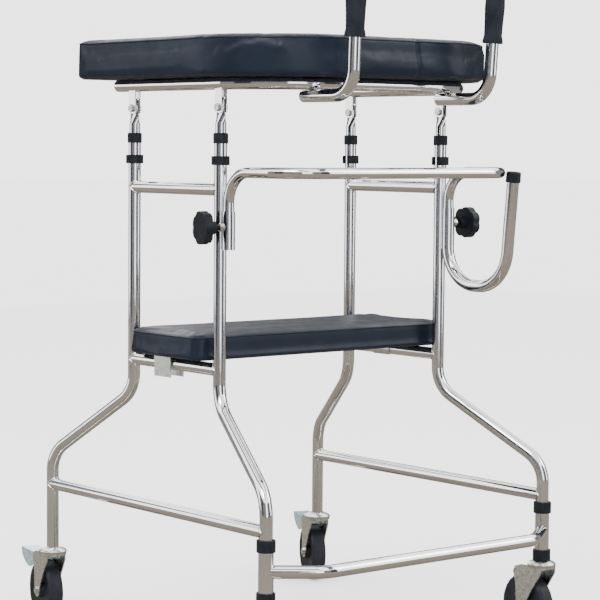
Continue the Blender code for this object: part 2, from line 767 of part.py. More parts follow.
def make_hook_cap(tip, along):
    skirt = bore_radius(POST_R + GAP)
    profile = [
        (0, 0.003),
        (0.0115, 0.003),
        (0.0132, 0.0013),
        (0.0136, -0.016),
        (skirt, -0.016),
        (skirt, GAP),
        (0, GAP),
    ]
    cap = turned("hook_cap", profile, "black_plastic")
    cap.location = tip
    cap.rotation_mode = "QUATERNION"
    cap.rotation_quaternion = along.to_track_quat("Z", "Y")


def make_casters():
    for corner, sign, _, leg_y in plan_corners():
        swivel = bpy.data.objects.new(f"swivel_{corner}", None)
        WALKER.objects.link(swivel)
        swivel.location = (sign * LEG_X, leg_y, 0)
        swivel.rotation_euler.z = CASTER_YAW[corner]
        make_caster_head(f"caster_head_{corner}", swivel.location)
        make_fork(f"caster_fork_{corner}", swivel)
        make_wheel(f"caster_wheel_{corner}", swivel)
        if corner.startswith("rear"):
            make_pedal(f"brake_pedal_{corner.split('_')[1]}", swivel)


def make_caster_head(name, place):
    """The fixed bearing cup, with its stem up the leg and its kingpin down through the fork."""
    top, low = HEAD_TOP_Z, FORK_TOP_Z + GAP
    plate_low = FORK_TOP_Z - FORK_T
    profile = [
        (0, 0.174),
        (STEM_R, 0.174),
        (STEM_R, top),
        (0.0170, top),
        (0.0235, top - 0.0030),
        (HEAD_R, top - 0.0060),
        (HEAD_R - 0.0010, low),
        (KINGPIN_R, low),
        (KINGPIN_R, plate_low - GAP),
        (0.0085, plate_low - GAP),
        (0.0085, plate_low - 0.0045),
        (0, plate_low - 0.0045),
    ]
    head = turned(name, profile, "zinc")
    head.location = place


def make_fork(name, parent):
    """Two shaped side plates under a round top plate, and the axle. X is the axle's, +Y trails."""
    hole = bore_radius(KINGPIN_R + RUNNING)
    fork = ring(name, HEAD_R - 0.0015, hole, FORK_TOP_Z - FORK_T, FORK_TOP_Z, "zinc")
    fork.parent = parent
    for side, sign in SIDES.items():
        cheek = plate(f"join_{name}_{side}", fork_outline(), FORK_T, "zinc")
        shift = Matrix.Translation((sign * (FORK_INNER + FORK_T / 2), 0, 0))
        cheek.parent = parent
        cheek.matrix_local = shift @ SIDE_VIEW
        boolean(fork, cheek, "UNION")
    reach = FORK_INNER + FORK_T + 0.0035
    ends = (-reach, TRAIL, WHEEL_R), (reach, TRAIL, WHEEL_R)
    axle = cylinder_mesh(f"join_{name}_axle", *ends, AXLE_R, SMALL_SIDES)
    joined = [add(f"join_{name}_axle", axle, "zinc")]
    for side, sign in SIDES.items():
        near = (sign * (FORK_INNER + FORK_T - 0.0005), TRAIL, WHEEL_R)
        far = (sign * reach, TRAIL, WHEEL_R)
        end = cylinder_mesh(f"join_{name}_bolt_{side}", near, far, 0.0068, 6)
        joined.append(add(f"join_{name}_bolt_{side}", end, "zinc"))
    for tool in joined:
        tool.parent = parent
        boolean(fork, tool, "UNION")


def fork_outline():
    """A fork cheek in the plane of (trail, height): wide at the head, narrow and round at the axle."""
    points = [(-0.0175, FORK_TOP_Z), (-0.0165, 0.1190), (-0.0070, 0.1050), (0.0020, 0.0920)]
    points += [(0.0090, 0.0815), (0.0165, 0.0695)]
    points += arc((TRAIL, WHEEL_R), FORK_END_R, 180, 360, 8)
    points += [(0.0480, 0.0900), (0.0520, 0.1060), (0.0560, 0.1160), (0.0500, FORK_TOP_Z - 0.0050)]
    points += [(0.0340, FORK_TOP_Z)]
    return points


def make_wheel(name, parent):
    """A wheel with a crowned tread, dished faces and a hub, turned round its own Z."""
    half, hub = WHEEL_W / 2, bore_radius(AXLE_R + RUNNING, WHEEL_SIDES)
    hub_half = FORK_INNER - 0.0006
    rim = [
        (hub, hub_half),
        (0.0130, hub_half),
        (0.0150, half - 0.0040),
        (0.0420, half - 0.0035),
        (0.0490, half),
        (0.0525, half - 0.0003),
        (WHEEL_R, half * 0.70),
    ]
    profile = rim + [(radius, -z) for radius, z in reversed(rim)]
    wheel = turned(name, profile, "wheel_rubber", steps=WHEEL_SIDES, closed=True)
    wheel.parent = parent
    wheel.location = (0, TRAIL, WHEEL_R)
    wheel.rotation_euler.y = math.pi / 2


def make_pedal(name, parent):
    """A pressed pedal: a level tread plate, its two flanges between the fork's cheeks and the wheel."""
    inner = PEDAL_HALF_X - PEDAL_T
    outline = [
        (-0.0080, -0.0080),
        (0.0300, -0.0265),
        (0.0450, -0.0282),
        (0.0630, -0.0212),
        (0.0780, -0.0100),
        (0.0820, 0.0036),
        (-0.0080, 0.0036),
    ]
    hollow = [(-0.0200, -0.0400), (0.0900, -0.0400), (0.0900, 0.0012), (-0.0200, 0.0012)]
    pedal = plate(name, outline, 2 * PEDAL_HALF_X, "blue_zinc")
    tool = plate("cut_" + name, hollow, 2 * inner, "blue_zinc")
    for piece in (pedal, tool):
        piece.parent = parent
        piece.matrix_local = Matrix.Translation((0, *PEDAL_PIVOT)) @ SIDE_VIEW
    boolean(pedal, tool, "DIFFERENCE")


make_legs()
make_rails()
make_crossbar()
make_bushings_and_clips()
make_inner_posts()
make_armrest_frame()
make_grips()
make_armrest_pad()
make_seat()
make_hoop()
make_casters()
bpy.context.view_layer.update()
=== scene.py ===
"""The looks of a forearm-support rollator walker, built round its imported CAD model.

Metres, +Z up, the floor at Z = 0. The walker faces -Y, so the user's right is -X.
"""

import json
import math

import bmesh
import bpy
from mathutils import Matrix, Vector, noise
from mathutils.bvhtree import BVHTree


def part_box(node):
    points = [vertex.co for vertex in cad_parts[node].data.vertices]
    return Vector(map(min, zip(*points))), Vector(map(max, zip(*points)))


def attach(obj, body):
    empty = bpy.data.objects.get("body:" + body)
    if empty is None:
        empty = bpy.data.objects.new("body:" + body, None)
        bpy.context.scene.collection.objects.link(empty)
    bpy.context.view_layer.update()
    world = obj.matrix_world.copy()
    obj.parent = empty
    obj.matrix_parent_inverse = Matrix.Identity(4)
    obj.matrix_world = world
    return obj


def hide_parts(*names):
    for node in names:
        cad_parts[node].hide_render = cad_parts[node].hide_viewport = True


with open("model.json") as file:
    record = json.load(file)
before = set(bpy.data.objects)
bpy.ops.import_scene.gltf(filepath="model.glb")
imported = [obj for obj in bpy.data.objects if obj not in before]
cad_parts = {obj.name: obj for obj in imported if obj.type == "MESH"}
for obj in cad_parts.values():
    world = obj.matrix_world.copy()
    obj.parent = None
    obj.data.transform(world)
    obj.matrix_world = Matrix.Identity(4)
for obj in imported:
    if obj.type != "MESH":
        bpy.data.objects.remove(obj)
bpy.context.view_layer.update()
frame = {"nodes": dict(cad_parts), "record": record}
NODES = frame["nodes"]
SIDES = {"right": -1, "left": 1}
ENDS = ("rear", "front")


def centre_of(node):
    low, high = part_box(node)
    return (low + high) / 2


# ---------------------------------------------------------------- sizes read from the CAD model

POST_R = (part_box("upper_rail_left")[1].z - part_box("upper_rail_left")[0].z) / 2
INNER_R = 0.00955
SLEEVE_R = 0.0127
POST_X = centre_of("post_bushing_front_left").x
LEG_X = centre_of("caster_head_front_left").x
POST_Y = {end: centre_of(f"post_bushing_{end}_left").y for end in ENDS}
LEG_Y = {end: centre_of(f"caster_head_{end}_left").y for end in ENDS}
POST_TOP_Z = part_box("leg_front_left")[1].z
LEG_FOOT_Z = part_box("leg_front_left")[0].z
LEG_HIP_Z = 0.445
LEG_KNEE_Z = 0.318
LEG_BEND_R = 0.060
RAIL_Z = {level: centre_of(f"{level}_rail_left").z for level in ("upper", "seat", "lower")}
CROSSBAR_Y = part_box("front_crossbar")[0].y + POST_R
CROSSBAR_CORNER_X = 0.241
CROSSBAR_Z = 0.196
CROSSBAR_BEND_R = 0.050
SLEEVE_LOW_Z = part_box("front_crossbar")[0].z
SLEEVE_TOP_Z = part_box("front_crossbar")[1].z
ARM_TUBE_Z = 0.993
ARM_REAR_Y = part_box("armrest_frame")[1].y
ARM_FRONT_Y = ARM_REAR_Y - 0.438
ARM_CORNER_R = 0.150
EAR_X, EAR_T, EAR_WIDTH, EAR_LOW_Z = 0.005, 0.002, 0.020, 0.9435
HANDLE_X, HANDLE_Z, HANDLE_BEND_R = 0.155, 0.9722, 0.045
HANDLE_START_Y = ARM_FRONT_Y + 0.033
HANDLE_Y = ARM_FRONT_Y - 0.094
HANDLE_TOP_Z = 1.174
HANDLE_LEAN = math.radians(3.4)
HANDLE_SPLAY = math.radians(1.1)
HOOP_Y = centre_of("hoop_socket").y
HOOP_FRONT_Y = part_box("front_hoop")[0].y + INNER_R
HOOP_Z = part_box("front_hoop")[1].z - INNER_R
HOOP_FOOT_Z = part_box("front_hoop")[0].z
HOOP_RISE_R, HOOP_CORNER_R = 0.053, 0.070
SOCKET_LOW_Z, SOCKET_TOP_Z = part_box("hoop_socket")[0].z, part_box("hoop_socket")[1].z
HOOK_LOW_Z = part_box("carry_hook")[0].z + POST_R
HOOK_BEND_R = 0.0715
HOOK_BORE_Z = 0.705
HOOK_CORNER_Y = HOOP_Y - 0.149
HOOK_TIP_Y, HOOK_TIP_Z = HOOP_Y - 0.1685, 0.842
KNOB_Z = centre_of("hoop_knob_left").z
KNOB_TURN = {"right": math.radians(12), "left": 0.0}

BRACKET_TOP_Z = ARM_TUBE_Z - 0.6 * POST_R
BORE_GAP = 0.00035
SLEEVE_GAP = 0.0003

# The threaded bosses that the clamping knobs screw into.
BOSS_BORE_R, BOSS_ROOT_R, BOSS_FACE_R = 0.0045, 0.0066, 0.0068
BOSS_LENGTH, BOSS_SUNK = 0.0078, 0.0008

# Detail that the smooth tubes need.
BEND_STEPS = 16
TUBE_RESOLUTION = 10
THIN_BAR_RESOLUTION = 3
TURNED_STEPS = 40
PLATE_BEVEL = 0.0004
TUBE_SHARP_ANGLE = 40
TURNED_SHARP_ANGLE = 35
CAD_SHARP_ANGLE = 38
MERGE_DISTANCE = 0.00001

# The weld beads, and how far they stand off the tubes.
BEAD_R = 0.0014
BEAD_STEPS = 48
BEAD_R_SHARE = 1.03
BEAD_REACH_SHARE, BEAD_REACH_LEAST = 1.04, 0.03
BEAD_WANDER = 0.0003
BEAD_NOISE_STEP, BEAD_NOISE_SCALE = 0.7, 40


# ---------------------------------------------------------------- mesh helpers


def new_object(name, mesh, look):
    obj = bpy.data.objects.new(name, mesh)
    bpy.context.scene.collection.objects.link(obj)
    mesh.materials.clear()
    mesh.materials.append(look)
    return obj


def finish_mesh(name, bm, look, angle=TUBE_SHARP_ANGLE):
    bmesh.ops.recalc_face_normals(bm, faces=bm.faces)
    mesh = bpy.data.meshes.new(name)
    bm.to_mesh(mesh)
    bm.free()
    mesh.shade_smooth()
    mesh.set_sharp_from_angle(angle=math.radians(angle))
    return new_object(name, mesh, look)


def curve_piece(name, path, radius, look, closed=False, resolution=TUBE_RESOLUTION):
    """A round bar along a path, as a mesh."""
    curve = bpy.data.curves.new(name, "CURVE")
    curve.dimensions = "3D"
    curve.bevel_depth = radius
    curve.bevel_resolution = resolution
    curve.use_fill_caps = not closed
    spline = curve.splines.new("POLY")
    spline.points.add(len(path) - 1)
    spline.use_cyclic_u = closed
    for point, place in zip(spline.points, path):
        point.co = (*place, 1)
    source = bpy.data.objects.new(name + "_path", curve)
    bpy.context.scene.collection.objects.link(source)
    bpy.context.view_layer.update()
    graph = bpy.context.evaluated_depsgraph_get()
    mesh = bpy.data.meshes.new_from_object(source.evaluated_get(graph))
    bpy.data.objects.remove(source, do_unlink=True)
    bpy.data.curves.remove(curve)
    bm = bmesh.new()
    bm.from_mesh(mesh)
    bpy.data.meshes.remove(mesh)
    bmesh.ops.remove_doubles(bm, verts=bm.verts, dist=MERGE_DISTANCE)
    return finish_mesh(name, bm, look)


def rounded_path(corners, radii, segments=BEND_STEPS):
    """The corners joined by straight runs, with each inner corner rounded to its radius."""
    corners = [Vector(corner) for corner in corners]
    path = [corners[0]]
    for before, corner, after, radius in zip(corners, corners[1:], corners[2:], radii):
        back = (before - corner).normalized()
        on = (after - corner).normalized()
        half = back.angle(on) / 2
        centre = corner + (back + on).normalized() * radius / math.sin(half)
        spoke = corner + back * radius / math.tan(half) - centre
        axis = on.cross(back).normalized()
        for step in range(segments + 1):
            turn = Matrix.Rotation((math.pi - 2 * half) * step / segments, 3, axis)
            path.append(centre + turn @ spoke)
    return path + [corners[-1]]


def box_piece(name, low, high, look):
    """A plate with slightly rounded edges."""
    low, high = Vector(low), Vector(high)
    bm = bmesh.new()
    bmesh.ops.create_cube(bm, size=1)
    bmesh.ops.scale(bm, vec=high - low, verts=bm.verts)
    bmesh.ops.translate(bm, vec=(low + high) / 2, verts=bm.verts)
    bmesh.ops.bevel(bm, geom=bm.edges, offset=PLATE_BEVEL, segments=2, affect="EDGES")
    return finish_mesh(name, bm, look)


def ring_profile(inner, outer, height):
    """The profile of a plain pipe."""
    return [(inner, 0), (outer, 0), (outer, height), (inner, height)]


def turned(name, profile, start, along, look):
    """A closed profile of (radius, height) points turned round an axis."""
    bm = bmesh.new()
    rings = []
    for step in range(TURNED_STEPS):
        angle = 2 * math.pi * step / TURNED_STEPS
        across, up = math.cos(angle), math.sin(angle)
        rings.append([bm.verts.new((r * across, r * up, z)) for r, z in profile])
    count = len(profile)
    for first, second in zip(rings, rings[1:] + rings[:1]):
        for index in range(count):
            after = (index + 1) % count
            bm.faces.new((first[index], second[index], second[after], first[after]))
    bmesh.ops.remove_doubles(bm, verts=bm.verts, dist=MERGE_DISTANCE)
    pose = Matrix.Translation(start) @ Vector(along).to_track_quat("Z", "Y").to_matrix().to_4x4()
    bmesh.ops.transform(bm, matrix=pose, verts=bm.verts)
    return finish_mesh(name, bm, look, TURNED_SHARP_ANGLE)


# ---------------------------------------------------------------- materials


# The middle of a noise, where most of its values lie.
NOISE_LOW, NOISE_HIGH = 0.3, 0.7


class Look:
    """A Principled material whose colour, roughness and bump come from procedural nodes."""

    def __init__(self, name, **fixed):
        self.material = bpy.data.materials.new(name)
        self.material.use_nodes = True
        self.nodes = self.material.node_tree.nodes
        self.links = self.material.node_tree.links
        self.shader = self.nodes["Principled BSDF"]
        for socket, value in fixed.items():
            self.shader.inputs[socket.replace("_", " ")].default_value = value
        self.place = self.nodes.new("ShaderNodeTexCoord").outputs["Object"]
        self.normal = None

    def noise(self, scale, detail=4.0, rough=0.55, stretch=None):
        node = self.nodes.new("ShaderNodeTexNoise")
        node.inputs["Scale"].default_value = scale
        node.inputs["Detail"].default_value = detail
        node.inputs["Roughness"].default_value = rough
        self.links.new(self.stretched(stretch), node.inputs["Vector"])
        return node.outputs["Fac"]

    def cells(self, scale, feature="F1"):
        node = self.nodes.new("ShaderNodeTexVoronoi")
        node.feature = feature
        node.inputs["Scale"].default_value = scale
        self.links.new(self.place, node.inputs["Vector"])
        return node.outputs["Distance"]

    def stretched(self, scale):
        if scale is None:
            return self.place
        node = self.nodes.new("ShaderNodeMapping")
        node.inputs["Scale"].default_value = scale
        self.links.new(self.place, node.inputs["Vector"])
        return node.outputs["Vector"]

    def ramp(self, value, stops):
        node = self.nodes.new("ShaderNodeValToRGB")
        for element, (position, colour) in zip(node.color_ramp.elements, stops):
            element.position = position
            element.color = (*colour, 1)
        for position, colour in stops[2:]:
            node.color_ramp.elements.new(position).color = (*colour, 1)
        self.links.new(value, node.inputs["Fac"])
        return node.outputs["Color"]

    def colour(self, value, stops):
        self.links.new(self.ramp(value, stops), self.shader.inputs["Base Color"])
        return self

    def mottled(self, value, dark, pale):
        """A colour that wanders between two, following a noise."""
        return self.colour(value, [(NOISE_LOW, dark), (NOISE_HIGH, pale)])

    def roughness(self, value, low, high):
        node = self.nodes.new("ShaderNodeMapRange")
        node.inputs["From Min"].default_value = NOISE_LOW
        node.inputs["From Max"].default_value = NOISE_HIGH
        node.inputs["To Min"].default_value = low
        node.inputs["To Max"].default_value = high
        self.links.new(value, node.inputs["Value"])
        self.links.new(node.outputs["Result"], self.shader.inputs["Roughness"])
        return self

    def bump(self, value, distance, strength=1.0):
        node = self.nodes.new("ShaderNodeBump")
        node.inputs["Strength"].default_value = strength
        node.inputs["Distance"].default_value = distance
        self.links.new(value, node.inputs["Height"])
        if self.normal is not None:
            self.links.new(self.normal, node.inputs["Normal"])
        self.normal = node.outputs["Normal"]
        self.links.new(self.normal, self.shader.inputs["Normal"])
        return self


def chrome_look():
    look = Look("chrome", Metallic=1.0)
    look.mottled(look.noise(9), (0.70, 0.71, 0.73), (0.82, 0.82, 0.83))
    look.roughness(look.noise(38, 6), 0.035, 0.11)
    return look.bump(look.noise(70, 3), 0.00002).material


def zinc_look():
    look = Look("zinc", Metallic=1.0)
    look.colour(look.cells(260), [(0.0, (0.60, 0.62, 0.60)), (1.0, (0.80, 0.82, 0.79))])
    look.roughness(look.noise(120, 5), 0.20, 0.38)
    return look.bump(look.noise(420, 3), 0.00006).material


def blue_zinc_look():
    look = Look("blue_zinc", Metallic=0.85)
    look.mottled(look.noise(60, 5), (0.42, 0.60, 0.66), (0.66, 0.80, 0.84))
    look.roughness(look.noise(150, 5), 0.24, 0.42)
    return look.bump(look.noise(380, 3), 0.00006).material


def steel_look():
    look = Look("bolt_steel", Metallic=1.0)
    look.mottled(look.noise(90, 5), (0.46, 0.45, 0.42), (0.68, 0.66, 0.62))
    look.roughness(look.noise(210, 5), 0.22, 0.42)
    return look.bump(look.noise(700, 2), 0.00005).material


def vinyl_look():
    look = Look("vinyl", Coat_Weight=0.04, Coat_Roughness=0.25, Specular_IOR_Level=0.16)
    look.mottled(look.noise(7, 5), (0.0022, 0.0045, 0.0100), (0.0046, 0.0082, 0.0165))
    look.roughness(look.noise(26, 6), 0.34, 0.50)
    look.bump(look.cells(620), 0.00016, 0.55)
    look.bump(look.noise(1300, 3), 0.00006, 0.5)
    return look.bump(look.noise(16, 4), 0.0008, 0.5).material


def plastic_look():
    look = Look("black_plastic", Specular_IOR_Level=0.16)
    look.mottled(look.noise(80, 4), (0.003, 0.004, 0.006), (0.007, 0.009, 0.012))
    look.roughness(look.noise(140, 5), 0.36, 0.54)
    return look.bump(look.noise(1500, 2), 0.00008, 0.6).material


def grip_look():
    look = Look("grip_rubber", Specular_IOR_Level=0.13)
    look.mottled(look.noise(40, 5), (0.003, 0.005, 0.008), (0.008, 0.010, 0.014))
    look.roughness(look.noise(90, 5), 0.50, 0.68)
    return look.bump(look.cells(900), 0.00012, 0.5).material


def wheel_look():
    look = Look("wheel_rubber", Specular_IOR_Level=0.15)
    look.colour(look.noise(34, 6), [(0.3, (0.005, 0.006, 0.009)), (0.62, (0.012, 0.013, 0.017))])
    look.roughness(look.noise(70, 6), 0.40, 0.60)
    return look.bump(look.noise(600, 4), 0.00010, 0.6).material


def board_look():
    look = Look("board", Specular_IOR_Level=0.2)
    grain = look.noise(30, 6, stretch=(1.0, 9.0, 9.0))
    look.mottled(grain, (0.005, 0.007, 0.012), (0.012, 0.015, 0.022))
    look.roughness(look.noise(90, 4), 0.55, 0.75)
    return look.bump(grain, 0.0003, 0.6).material


LOOKS = {
    "chrome": chrome_look(),
    "zinc": zinc_look(),
    "blue_zinc": blue_zinc_look(),
    "steel": steel_look(),
    "vinyl": vinyl_look(),
    "black_plastic": plastic_look(),
    "grip_rubber": grip_look(),
    "wheel_rubber": wheel_look(),
    "board": board_look(),
}


def smooth_shading():
    """A modifier group that shades shallow edges smooth and leaves the points where they are."""
    group = bpy.data.node_groups.new("smooth_shading", "GeometryNodeTree")
    group.interface.new_socket("Geometry", in_out="INPUT", socket_type="NodeSocketGeometry")
    group.interface.new_socket("Geometry", in_out="OUTPUT", socket_type="NodeSocketGeometry")
    make, link = group.nodes.new, group.links.new
    start, end = make("NodeGroupInput"), make("NodeGroupOutput")
    merge = make("GeometryNodeMergeByDistance")
    merge.inputs["Distance"].default_value = MERGE_DISTANCE
    angle = make("GeometryNodeInputMeshEdgeAngle")
    compare = make("FunctionNodeCompare")
    compare.operation = "LESS_THAN"
    compare.inputs["B"].default_value = math.radians(CAD_SHARP_ANGLE)
    faces, edges = make("GeometryNodeSetShadeSmooth"), make("GeometryNodeSetShadeSmooth")
    faces.domain = "FACE"
    edges.domain = "EDGE"
    link(start.outputs["Geometry"], merge.inputs["Geometry"])
    link(merge.outputs["Geometry"], faces.inputs["Geometry"])
    link(faces.outputs["Geometry"], edges.inputs["Geometry"])
    link(angle.outputs["Unsigned Angle"], compare.inputs["A"])
    link(compare.outputs["Result"], edges.inputs["Shade Smooth"])
    link(edges.outputs["Geometry"], end.inputs["Geometry"])
    return group


def dress_cad_nodes():
    group = smooth_shading()
    for entry in frame["record"]["subparts"]:
        obj = NODES[entry["node"]]
        look = LOOKS[entry["material_slot"]]
        if not obj.material_slots:
            obj.data.materials.append(look)
        for slot in obj.material_slots:
            slot.material = look
        obj.modifiers.new("Smooth", "NODES").node_group = group


# ---------------------------------------------------------------- chromed tubes


def stand_in(obj, body, slot, *nodes):
    """Puts a new piece on its body, in place of these CAD nodes. The slot argument is not used."""
    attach(obj, body)
    if nodes:
        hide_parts(*nodes)
    return obj


def chrome_tube(name, corners, radii, radius, body, *nodes):
    path = rounded_path(corners, radii)
    return stand_in(curve_piece(name, path, radius, LOOKS["chrome"]), body, "chrome", *nodes)


def make_legs():
    for side, sign in SIDES.items():
        for end in ENDS:
            x, foot_x = sign * POST_X, sign * LEG_X
            corners = [
                (x, POST_Y[end], POST_TOP_Z),
                (x, POST_Y[end], LEG_HIP_Z),
                (foot_x, LEG_Y[end], LEG_KNEE_Z),
                (foot_x, LEG_Y[end], LEG_FOOT_Z),
            ]
            name = f"leg_{end}_{side}"
            chrome_tube(f"{name}_tube", corners, [LEG_BEND_R] * 2, POST_R, "frame", name)


def make_rails():
    for level, z in RAIL_Z.items():
        for side, sign in SIDES.items():
            low = level == "lower"
            x = sign * (LEG_X if low else POST_X)
            ends = LEG_Y if low else POST_Y
            name = f"{level}_rail_{side}"
            corners = [(x, ends["front"], z), (x, ends["rear"], z)]
            chrome_tube(f"{name}_tube", corners, [], POST_R, "frame", name)
            for end in ENDS:
                toward = 1 if end == "front" else -1
                make_weld(f"weld_{level}_{end}_{side}", (x, ends[end], z), toward)


def make_weld(name, place, toward):
    """A slightly uneven bead where a rail along Y meets an upright of the same radius."""
    centre = Vector(place)
    path = []
    for step in range(BEAD_STEPS):
        angle = 2 * math.pi * step / BEAD_STEPS
        across, up = math.cos(angle), math.sin(angle)
        reach = math.sqrt(max(0.0, 1 - across * across))
        spot = (step * BEAD_NOISE_STEP, place[2] * BEAD_NOISE_SCALE, place[1] * BEAD_NOISE_SCALE)
        wander = BEAD_WANDER * noise.noise(Vector(spot))
        out = POST_R * (BEAD_REACH_SHARE * reach + BEAD_REACH_LEAST) + wander
        bead_r = POST_R * BEAD_R_SHARE
        path.append(centre + Vector((bead_r * across, toward * out, bead_r * up)))
    bead = curve_piece(
        name, path, BEAD_R, LOOKS["chrome"], closed=True, resolution=THIN_BAR_RESOLUTION
    )
    stand_in(bead, "frame", "chrome")


def make_crossbar():
    corners = [
        (-LEG_X, LEG_Y["front"], CROSSBAR_Z),
        (-CROSSBAR_CORNER_X, CROSSBAR_Y, CROSSBAR_Z),
        (CROSSBAR_CORNER_X, CROSSBAR_Y, CROSSBAR_Z),
        (LEG_X, LEG_Y["front"], CROSSBAR_Z),
    ]
    chrome_tube(
        "front_crossbar_tube", corners, [CROSSBAR_BEND_R] * 2, POST_R, "frame", "front_crossbar"
    )
    for side, sign in SIDES.items():
        foot = Vector((sign * LEG_X, LEG_Y["front"], SLEEVE_LOW_Z))
        profile = ring_profile(POST_R + SLEEVE_GAP, SLEEVE_R, SLEEVE_TOP_Z - SLEEVE_LOW_Z)
        sleeve = turned(f"crossbar_sleeve_{side}", profile, foot, (0, 0, 1), LOOKS["chrome"])
        stand_in(sleeve, "frame", "chrome")


def handle_top(sign, z):
    rise = z - HANDLE_Z
    x = sign * (HANDLE_X + rise * math.tan(HANDLE_SPLAY))
    return Vector((x, HANDLE_Y - rise * math.tan(HANDLE_LEAN), z))


def make_armrest_tubes():
    corners = [
        (-POST_X, ARM_REAR_Y, ARM_TUBE_Z),
        (-POST_X, ARM_FRONT_Y, ARM_TUBE_Z),
        (POST_X, ARM_FRONT_Y, ARM_TUBE_Z),
        (POST_X, ARM_REAR_Y, ARM_TUBE_Z),
    ]
    chrome_tube(
        "armrest_tube", corners, [ARM_CORNER_R] * 2, POST_R, "armrest", "armrest_frame"
    )
    for side, sign in SIDES.items():
        corners = [
            (sign * HANDLE_X, HANDLE_START_Y, HANDLE_Z),
            (sign * HANDLE_X, HANDLE_Y, HANDLE_Z),
            handle_top(sign, HANDLE_TOP_Z),
        ]
        chrome_tube(f"handle_tube_{side}", corners, [HANDLE_BEND_R], POST_R, "armrest")
        for end in ENDS:
            for place, ear_sign in (("outer", 1), ("inner", -1)):
                x = sign * POST_X + ear_sign * EAR_X
                low = (x - EAR_T / 2, POST_Y[end] - EAR_WIDTH / 2, EAR_LOW_Z)
                high = (x + EAR_T / 2, POST_Y[end] + EAR_WIDTH / 2, BRACKET_TOP_Z)
                name = f"bracket_{end}_{side}_{place}"
                stand_in(box_piece(name, low, high, LOOKS["chrome"]), "armrest", "chrome")


def make_hoop_and_hook():
    corners = [
        (-POST_X, HOOP_Y, HOOP_FOOT_Z),
        (-POST_X, HOOP_Y, HOOP_Z),
        (-POST_X, HOOP_FRONT_Y, HOOP_Z),
        (POST_X, HOOP_FRONT_Y, HOOP_Z),
        (POST_X, HOOP_Y, HOOP_Z),
        (POST_X, HOOP_Y, HOOP_FOOT_Z),
    ]
    radii = [HOOP_RISE_R, HOOP_CORNER_R, HOOP_CORNER_R, HOOP_RISE_R]
    chrome_tube("front_hoop_tube", corners, radii, INNER_R, "hoop", "front_hoop")
    bore = INNER_R + BORE_GAP
    profile = ring_profile(bore, POST_R, SOCKET_TOP_Z - SOCKET_LOW_Z)
    foot = (-POST_X, HOOP_Y, SOCKET_LOW_Z)
    socket = turned("hoop_socket_tube", profile, foot, (0, 0, 1), LOOKS["chrome"])
    stand_in(socket, "frame", "chrome", "hoop_socket")
    corners = [
        (POST_X, HOOP_Y, SOCKET_TOP_Z),
        (POST_X, HOOP_Y, HOOK_LOW_Z),
        (POST_X, HOOK_CORNER_Y, HOOK_LOW_Z),
        (POST_X, HOOK_TIP_Y, HOOK_TIP_Z),
    ]
    # The bar is solid only below the hoop's bore; a pipe makes the rest of it, up to its mouth.
    whole = rounded_path(corners, [HOOK_BEND_R] * 2)
    path = [point for point in whole if point.z < HOOK_BORE_Z or point.y < HOOP_Y - HOOK_BEND_R]
    bar = curve_piece("carry_hook_tube", path, POST_R, LOOKS["chrome"])
    stand_in(bar, "frame", "chrome", "carry_hook")
    profile = ring_profile(bore, POST_R, SOCKET_TOP_Z - path[0].z)
    mouth = turned("carry_hook_mouth", profile, path[0], (0, 0, 1), LOOKS["chrome"])
    stand_in(mouth, "frame", "chrome")
    make_knob_bosses()


def make_knob_bosses():
    profile = [
        (BOSS_BORE_R, 0),
        (BOSS_ROOT_R, 0),
        (BOSS_FACE_R, BOSS_LENGTH),
        (BOSS_BORE_R, BOSS_LENGTH),
    ]
    for side, sign in SIDES.items():
        turn = KNOB_TURN[side]
        out = Vector((sign * math.cos(turn), math.sin(turn), 0))
        start = Vector((sign * POST_X, HOOP_Y, KNOB_Z)) + out * (POST_R - BOSS_SUNK)
        boss = turned(f"knob_boss_{side}", profile, start, out, LOOKS["steel"])
        stand_in(boss, "frame", "steel")


# ---------------------------------------------------------------- cushions

PAD_OFFSET = 0.049
PAD_INSET = 0.0015
PAD_BEVEL = 0.005
PAD_BEVEL_SEGMENTS = 4
END_ARC_STEPS, OUTER_ARC_STEPS, INNER_ARC_STEPS = 8, 24, 18
PAD_REAR_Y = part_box("armrest_pad")[1].y
PAD_LOW_Z, PAD_TOP_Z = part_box("armrest_pad")[0].z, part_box("armrest_pad")[1].z
PAD_LIFT = 0.001
PAD_END_R = 0.022
SEAT_CORNER_R = 0.026
ARMREST_SWELL, SEAT_SWELL = 0.003, 0.004
CLOTH_PRESSURE = 4
CLOTH_FRAMES = 20
HELD_SHARE = 0.12
REMESH_SIZE = 0.005
PIPING_R = 0.0016
PIPING_DROP = 0.0040
PIPING_PROUD = 0.001
PIPING_STEP = 0.006
SEAM_X = 0.0335
SEAM_REACH = 0.13
SEAM_DEPTH, SEAM_WIDTH = 0.0022, 0.0035
SEAM_PUCKER, SEAM_PUCKER_SPREAD, SEAM_PUCKER_SCALE = 0.35, 4, 120
CREASE_BROAD, CREASE_BROAD_SCALE = 0.0005, 9
CREASE_FINE, CREASE_FINE_SCALE = 0.0003, 34
CREASE_SIDE_FALL = 1.6
CREASE_SHIFT = Vector((3, 7, 1))


def arc(centre, radius, start, end, segments):
    """Points along an arc between two angles in degrees."""
    points = []
    for step in range(segments + 1):
        angle = math.radians(start + (end - start) * step / segments)
        points.append((centre[0] + radius * math.cos(angle), centre[1] + radius * math.sin(angle)))
    return points


